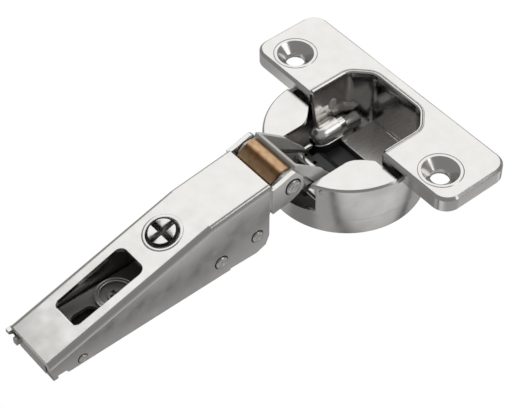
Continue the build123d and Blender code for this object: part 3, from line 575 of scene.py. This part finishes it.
def hoodRadius(spec, y):
    if y > spec["step"]:
        return spec["tubeR"]
    u = max(0.0, (spec["shoulder"] - y) / (spec["shoulder"] - spec["front"]))
    return spec["tip"] + (spec["r"] - spec["tip"]) * math.sqrt(max(0.0, 1 - u * u))


def hoodSection(spec, y, inset, low):
    x, z, r = spec["x"], spec["z"], hoodRadius(spec, y) - inset
    arch = [(x + r * math.cos(t), y, z + r * math.sin(t)) for t in evenSteps(0, math.pi, spec["archSteps"])]
    return [(x + r, y, low)] + arch + [(x - r, y, low)]


def archShell(spec, name, stations, inset, skin, low, material, stands=()):
    # two open arches of different size, joined at both ends and along both feet
    bm = bmesh.new()
    outer, inner = ([[bm.verts.new(p) for p in hoodSection(spec, y, depth, low)] for y in stations]
                    for depth in (inset, inset + skin))
    ends = [(outer[k], inner[k]) for k in (0, -1)]
    for a, b in [*zip(outer, outer[1:]), *zip(inner, inner[1:]), *ends]:
        for i in range(len(a) - 1):
            bm.faces.new((a[i], a[i + 1], b[i + 1], b[i]))
    for k in (0, -1):
        for i in range(len(stations) - 1):
            bm.faces.new((outer[i][k], outer[i + 1][k], inner[i + 1][k], inner[i][k]))
    placePiece(name, finishMesh(name, bm, spec["sharp"]), material, "cup", stands)


def makeHood(spec):
    front, step, rear, foot = spec["front"], spec["step"], spec["rear"], spec["foot"]
    nose = [front + (spec["shoulder"] - front) * (1 - math.cos(t))
            for t in evenSteps(0, math.pi / 2, spec["noseSteps"])]
    crown = nose + [spec["crest"], step - spec["ease"], step]
    tube = [step + 0.001, rear - 0.3, rear]
    archShell(spec, "damperHoodShell", crown, 0.0, spec["skin"], foot, hoodNickel, ("damper_hood",))
    archShell(spec, "damperHoodTube", tube, 0.0, spec["skin"], foot, brightNickel)
    archShell(spec, "damperHoodBase", nose + [step], spec["baseInset"], spec["baseSkin"], spec["floor"],
              plastic)
    stations = nose[1:] + [spec["crest"], step]
    beads = [[(spec["x"] + side * hoodRadius(spec, y), y, foot) for y in stations] for side in (1, -1)]
    wirePiece("damperHoodFoot", beads, spec["bead"], hoodNickel, "cup")


makeHood(hood)
print("hood made")


# side screw: four bright quadrants standing in a recess painted dark as shade, and the raised rim of its hole
sideScrew = {
    "headR": 3.25, "petalR": 2.85, "proud": 0.6, "slotWidth": 1.15, "slotDepth": 1.6, "edge": 0.14,
    "collarR": 4.5, "collarT": 0.8, "drop": 1.15, "shankR": 1.95, "shankEnd": 12.4, "tipEase": 0.3,
    "ringTop": 0.15, "segments": 64, "petalSteps": 16, "sharp": 40,
    "lean": 0.26975,  # in radians, as the top of the arm
}
holeRim = {"r": 3.92, "half": 0.352, "rise": 0.099, "sink": 0.02, "steps": 8, "segments": 64}


def screwSeat():
    return Matrix.Translation(pivotMm("side_screw_turn")) @ Matrix.Rotation(sideScrew["lean"], 4, "X")


def makeScrewBody(spec):
    end, shankR, ease = -spec["shankEnd"], spec["shankR"], spec["tipEase"]
    over, under = -spec["drop"], -spec["drop"] - spec["collarT"]
    profile = [
        (end, shankR - ease), (end + ease, shankR), (under, shankR),
        (under, spec["collarR"]), (over, spec["collarR"]),
        (over, spec["headR"]), (spec["ringTop"], spec["headR"]),
        (spec["ringTop"], spec["petalR"]), (spec["proud"] - spec["slotDepth"], spec["petalR"]),
    ]
    body = lathe("sideScrewBody", profile, (0, 0, 0), (0, 0, 1), spec["segments"], spec["sharp"])
    body.transform(screwSeat())
    # the dark steel of the body is painted shade in the recess around the quadrants
    placePiece("sideScrewBody", body, paintedShadeSteel, "screw", ("side_screw",))


def makeScrewQuadrants(spec):
    half, r = spec["slotWidth"] / 2, spec["petalR"]
    floor, top = spec["proud"] - spec["slotDepth"] - 0.02, spec["proud"]
    start = math.asin(half / r)
    arc = evenSteps(start, math.pi / 2 - start, spec["petalSteps"])
    outline = [(half, half)] + [(r * math.cos(t), r * math.sin(t)) for t in arc]
    bm = bmesh.new()
    for quarter in range(4):
        turn = Matrix.Rotation(math.pi / 2 * quarter, 4, "Z")
        low, high = ([bm.verts.new(turn @ Vector((x, y, z))) for x, y in outline] for z in (floor, top))
        bm.faces.new(low[::-1])
        bm.faces.new(high)
        for i in range(len(outline)):
            j = (i + 1) % len(outline)
            bm.faces.new((low[i], low[j], high[j], high[i]))
    rim = [edge for edge in bm.edges if all(abs(v.co.z - top) < 0.001 for v in edge.verts)]
    bmesh.ops.bevel(bm, geom=rim, offset=spec["edge"], segments=3, profile=0.5, affect="EDGES")
    mesh = finishMesh("sideScrewQuadrants", bm, spec["sharp"])
    mesh.transform(screwSeat())
    placePiece("sideScrewQuadrants", mesh, brightNickel, "screw")


def makeHoleRim(spec):
    profile = [(spec["rise"] * math.sin(t) - spec["sink"], spec["r"] + spec["half"] * math.cos(t))
               for t in evenSteps(0, math.pi, spec["steps"])]
    rim = lathe("screwHoleRim", profile, (0, 0, 0), (0, 0, 1), spec["segments"])
    rim.transform(screwSeat())
    placePiece("screwHoleRim", rim, brightNickel, "arm")


makeScrewBody(sideScrew)
makeScrewQuadrants(sideScrew)
makeHoleRim(holeRim)
print("side screw made")


# lining of the well, its corners and its mouth rolled smooth; the floor plate sits in it with a little play
plateLow, plateHigh = boxMm("boss_plate")
floorHigh = boxMm("cup_floor_plate")[1]
floorPlay = 0.05
lining = {
    "half": floorHigh.x + floorPlay, "rear": floorHigh.y + floorPlay, "chamferX": 7.0, "chamferY": 10.1,
    "top": plateHigh.z, "foot": floorHigh.z + 0.02,
    "frontTop": plateLow.y + 0.82, "frontFoot": plateLow.y + 2.55, "breakZ": 1.05,
    "cornerR": 3.6, "cornerSteps": 8, "skin": 0.12, "sharp": 50,
    # offsets out from the wall and heights above the plate's top
    "roll": [(0.78, 0.012), (0.6, 0.07), (0.38, 0.09), (0.16, 0.02), (-0.02, -0.16), (-0.1, -0.42),
             (-0.08, -0.66), (-0.15, -0.9), (-0.22, -1.3)],
    "rows": 8, "bead": 0.17, "beadIn": 0.102, "beadDrop": 1.0, "beadSteps": 10,
}


def roundedPath(spec):
    # the wall's outline seen from above, as (point, outward direction)
    half = spec["half"]
    right = [(spec["chamferX"], spec["rear"]), (half, spec["chamferY"]), (half, spec["frontTop"])]
    points = [Vector((-x, y)) for x, y in right[::-1]] + [Vector(p) for p in right]
    path = [(points[0], Vector((-1, 0)))]
    for before, corner, after in zip(points, points[1:], points[2:]):
        into, out = (corner - before).normalized(), (after - corner).normalized()
        turn = into.angle(out)
        inward = Vector((into.y, -into.x))
        centre = corner - into * spec["cornerR"] * math.tan(turn / 2) + inward * spec["cornerR"]
        for t in evenSteps(0, turn, spec["cornerSteps"]):
            spoke = into * math.sin(t) - inward * math.cos(t)
            path.append((centre + spoke * spec["cornerR"], spoke))
    return path + [(points[-1], Vector((1, 0)))]


def frontEdge(spec, z):
    # the side walls' front edges lean back below the break
    drop = max(0.0, spec["breakZ"] - z) / (spec["breakZ"] - spec["foot"])
    return spec["frontTop"] + (spec["frontFoot"] - spec["frontTop"]) * drop


def makeLining(spec):
    path = roundedPath(spec)
    rows = [(off, spec["top"] + rise) for off, rise in spec["roll"]]
    inset, low = rows[-1]
    rows += [(inset, z) for z in evenSteps(low, spec["foot"], spec["rows"])[1:]]
    rings = []
    for off, z in rows:
        front = frontEdge(spec, z)
        loop = []
        for extra, side in ((0.0, path), (spec["skin"], path[::-1])):
            for point, outward in side:
                at = point + outward * (off + extra)
                loop.append((at.x, max(at.y, front), z))
        rings.append(loop)
    mesh = meshFrom("wellLining", rings, sharpDegrees=spec["sharp"])
    placePiece("wellLining", mesh, brightNickel, "cup")


def makeFrontEdges(spec):
    half = spec["half"] - spec["beadIn"]
    heights = evenSteps(spec["top"] - spec["beadDrop"], spec["foot"], spec["beadSteps"])
    edges = [[(side * half, frontEdge(spec, z), z) for z in heights] for side in (-1, 1)]
    wirePiece("wellFrontEdges", edges, spec["bead"], hoodNickel, "cup")


makeLining(lining)
makeFrontEdges(lining)
print("well lined")


# seats of the door screws, drawn down with rounded shoulders
screwSeats = {
    "x": plateHigh.x - 7.5, "y": plateLow.y + 5.75, "top": plateHigh.z,
    "skin": 0.05, "segments": 72, "sharp": 50,
    # heights above the plate's top and radii
    "inner": [(0.015, 4.75), (0.03, 4.4), (-0.02, 4.15), (-0.16, 3.92), (-0.4, 3.66), (-1.45, 2.58),
              (-1.72, 2.3), (-2.0, 2.12), (-2.3, 2.06), (-3.08, 2.06)],
}


def makeScrewSeat(name, side, spec):
    skin = spec["skin"]
    outer = [(z - skin, r + skin) for z, r in spec["inner"][::-1]]
    rings = [loopAt((side * spec["x"], spec["y"], spec["top"] + z), (1, 0, 0), (0, 1, 0), r, spec["segments"])
             for z, r in spec["inner"] + outer]
    mesh = meshFrom(name, rings, closed=True, sharpDegrees=spec["sharp"])
    placePiece(name, mesh, brightNickel, "cup")


for i, side in enumerate((-1, 1)):
    makeScrewSeat("doorScrewSeat_" + str(i), side, screwSeats)
print("screw seats drawn")


# painted shade: dark sheets under the openings, a grey one in front of the damper tray and a dark one below
# the clip's slot, laid where only shade falls
trayLow = boxMm("damper_tray")[0]
leverPivot = pivotMm("release_lever_turn")
cupR = boxMm("hinge_cup")[1].y
trayShade = {"r": cupR - 1.2, "y": trayLow.y - 0.05, "low": trayLow.z + 0.01, "t": 0.29, "steps": 32}
clipLeaf = {
    "half": 2.3, "rear": leverPivot.y + 1.8, "front": leverPivot.y + 9.5, "low": leverPivot.z - 0.05,
    "t": 0.3, "crown": 0.12, "cornerR": 1.2, "cornerSteps": 6,
}


def makeApron(spec):
    r = spec["r"]
    reach = math.acos(-spec["y"] / r)
    outline = [(r * math.sin(t), -r * math.cos(t)) for t in evenSteps(-reach, reach, spec["steps"])]
    rings = [[(x, y, z) for x, y in outline] for z in (spec["low"], spec["low"] + spec["t"])]
    placePiece("damperTrayApron", meshFrom("damperTrayApron", rings), shadeGreyPlastic, "cup")


def makeClipLeaf(spec):
    r, crown, top = spec["cornerR"], spec["crown"], spec["low"] + spec["t"]
    x, front, rear = spec["half"] - r, spec["front"] - r, spec["rear"] + r
    corners = [(x, front), (-x, front), (-x, rear), (x, rear)]
    quarter = math.pi / 2
    rings = []
    for z, inset in ((spec["low"], 0.0), (top, 0.0), (top + crown, crown * 2)):
        rings.append([(cx + (r - inset) * math.cos(t), cy + (r - inset) * math.sin(t), z)
                      for i, (cx, cy) in enumerate(corners)
                      for t in evenSteps(quarter * i, quarter * (i + 1), spec["cornerSteps"])])
    placePiece("clipLeaf", meshFrom("clipLeaf", rings), paintedShadeSteel, "channel")


makeApron(trayShade)
makeClipLeaf(clipLeaf)
print("shade sheets laid under the openings")


# pressed marks: stops on the cup's rim, the pin's ends in the well's walls, the floor plate's bright edge
pressings = {
    "segments": 28,
    # shares of a mark's width and of its rise
    "profile": [(1.0, -0.25), (1.0, 0.0), (0.92, 0.45), (0.78, 0.78), (0.55, 0.95), (0.25, 1.0)],
}
cupStops = {"degrees": 32.14, "sink": 0.02, "z": -0.15, "r": 0.68, "rise": 0.3}
wellBosses = {"sink": 0.22, "y": 5.7, "z": -3.3, "across": 1.15, "up": 1.55, "rise": 0.22}
floorBead = {"in": 4.4, "back": 0.5, "r": 0.17}


def dome(name, place, outward, across, up, rise, material):
    outward = Vector(outward).normalized()
    u = Vector((0, 0, 1)).cross(outward).normalized()
    v = outward.cross(u)
    rings = [loopAt(Vector(place) + outward * (rise * lift), u * across, v * up, share, pressings["segments"])
             for share, lift in pressings["profile"]]
    placePiece(name, meshFrom(name, rings), material, "cup")


def makeCupStops(spec):
    out, angle, r = cupR - spec["sink"], math.radians(spec["degrees"]), spec["r"]
    for i, side in enumerate((1, -1)):
        x, y = side * out * math.sin(angle), -out * math.cos(angle)
        dome("cupStop_" + str(i), (x, y, spec["z"]), (x, y, 0), r, r, spec["rise"], brightNickel)


def makeWellBosses(spec):
    for i, side in enumerate((-1, 1)):
        place = (side * (lining["half"] - spec["sink"]), spec["y"], spec["z"])
        dome("wellBoss_" + str(i), place, (-side, 0, 0), spec["across"], spec["up"], spec["rise"], linkNickel)


def makeFloorBead(spec):
    low, high = boxMm("cup_floor_plate")
    y, z = high.y - spec["back"], high.z
    path = [(low.x + spec["in"], y, z), (high.x - spec["in"], y, z)]
    wirePiece("floorPlateBead", [path], spec["r"], hoodNickel, "cup")


makeFloorBead(floorBead)
makeCupStops(cupStops)
makeWellBosses(wellBosses)
print("pressed marks made")


# studio: white paper under soft light; the floor lies below the arm at the end of its swing
studio = {
    "floorZ": cadBox[0][2] - 21.4 * mm,
    "floorSize": 6,
    "floorColour": "#FFFFFF",
    "worldStrength": 0.27,
    # painted reflection: the tones that polished walls find in the paper, bands of painted shade and light by
    # millimetres out from the arm
    "paintedReflectionTone": [(0.0, 0.25), (14.0, 0.25), (20.0, 0.42), (30.0, 0.42), (32.2, 0.14), (34.6, 0.14),
                  (37.5, 0.56), (46.0, 0.78), (58.0, 0.4)],
    # the tones fan out from the arm's end towards the cup
    "toneSlant": 0.204, "slantFrom": -30, "slantTo": -14,
}
lamps = {
    "keySoftbox": {"towards": (-0.5, 0.46, 0.74), "distance": 0.7, "size": (1.0, 1.0), "power": 3.0},
    "backSoftbox": {"towards": (0.58, 0.48, 0.66), "distance": 0.7, "size": (0.35, 0.35), "power": 0.54},
}
lampCentre = Vector((0, -30 * mm, 0))


def paperFloor(spec):
    # the camera sees white, soft light a plain diffuse sheet, and mirror rays a glowing painted reflection of
    # shade and light in its tones
    mat, tree, _ = newMaterial("paperFloor")
    rays = addNode(tree, "ShaderNodeLightPath")
    paper = addNode(tree, "ShaderNodeBsdfDiffuse", {"Color": linear(spec["floorColour"])})
    white = addNode(tree, "ShaderNodeEmission", {"Color": (1, 1, 1, 1), "Strength": 1.0})
    plain = addNode(tree, "ShaderNodeMixShader", {},
                    {0: rays.outputs["Is Camera Ray"], 1: paper.outputs[0], 2: white.outputs[0]})
    place = addNode(tree, "ShaderNodeTexCoord")
    split = addNode(tree, "ShaderNodeSeparateXYZ", {}, {0: place.outputs["Object"]})
    out = addNode(tree, "ShaderNodeMath", {"operation": "ABSOLUTE"}, {0: split.outputs["X"]})
    along = addNode(tree, "ShaderNodeClamp", {"Min": spec["slantFrom"] * mm, "Max": spec["slantTo"] * mm},
                    {"Value": split.outputs["Y"]})
    slant = addNode(tree, "ShaderNodeMath", {"operation": "MULTIPLY_ADD", 1: -spec["toneSlant"]},
                    {0: along.outputs[0], 2: out.outputs[0]})
    reach = spec["paintedReflectionTone"][-1][0]
    share = addNode(tree, "ShaderNodeMapRange", {"From Min": 0.0, "From Max": reach * mm},
                    {"Value": slant.outputs[0]})
    stops = [(x / reach, (tone, tone, tone, 1)) for x, tone in spec["paintedReflectionTone"]]
    ramp = colourRamp(tree, stops, share.outputs["Result"])
    paintedReflection = addNode(tree, "ShaderNodeEmission", {"Strength": 1.0}, {"Color": ramp.outputs["Color"]})
    mirrored = addNode(tree, "ShaderNodeMixShader", {},
                       {0: rays.outputs["Is Glossy Ray"], 1: plain.outputs[0], 2: paintedReflection.outputs[0]})
    tree.links.new(mirrored.outputs[0], tree.nodes["Material Output"].inputs["Surface"])
    return mat


def makeFloor(spec):
    bpy.ops.mesh.primitive_plane_add(size=spec["floorSize"], location=(0, 0, spec["floorZ"]))
    floor = bpy.context.object
    floor.name = "studioFloor"
    floor.data.materials.append(paperFloor(spec))


def makeWorld(spec):
    world = bpy.data.worlds.new("studioWorld")
    scene.world = world
    world.use_nodes = True
    tree = world.node_tree
    tree.nodes.clear()
    rays = addNode(tree, "ShaderNodeLightPath")
    soft = addNode(tree, "ShaderNodeBackground", {"Color": (1, 1, 1, 1), "Strength": spec["worldStrength"]})
    white = addNode(tree, "ShaderNodeBackground", {"Color": (1, 1, 1, 1), "Strength": 1.0})
    mix = addNode(tree, "ShaderNodeMixShader", {},
                  {0: rays.outputs["Is Camera Ray"], 1: soft.outputs[0], 2: white.outputs[0]})
    addNode(tree, "ShaderNodeOutputWorld", {}, {"Surface": mix.outputs[0]})


def softbox(name, spec):
    data = bpy.data.lights.new(name, "AREA")
    data.shape = "RECTANGLE"
    data.size, data.size_y = spec["size"]
    data.energy = spec["power"]
    obj = bpy.data.objects.new(name, data)
    scene.collection.objects.link(obj)
    away = Vector(spec["towards"]).normalized()
    obj.location = away * spec["distance"] + lampCentre
    obj.rotation_mode = "QUATERNION"
    obj.rotation_quaternion = away.to_track_quat("Z", "Y")


makeFloor(studio)
makeWorld(studio)
for name, spec in lamps.items():
    softbox(name, spec)
print("studio ready")
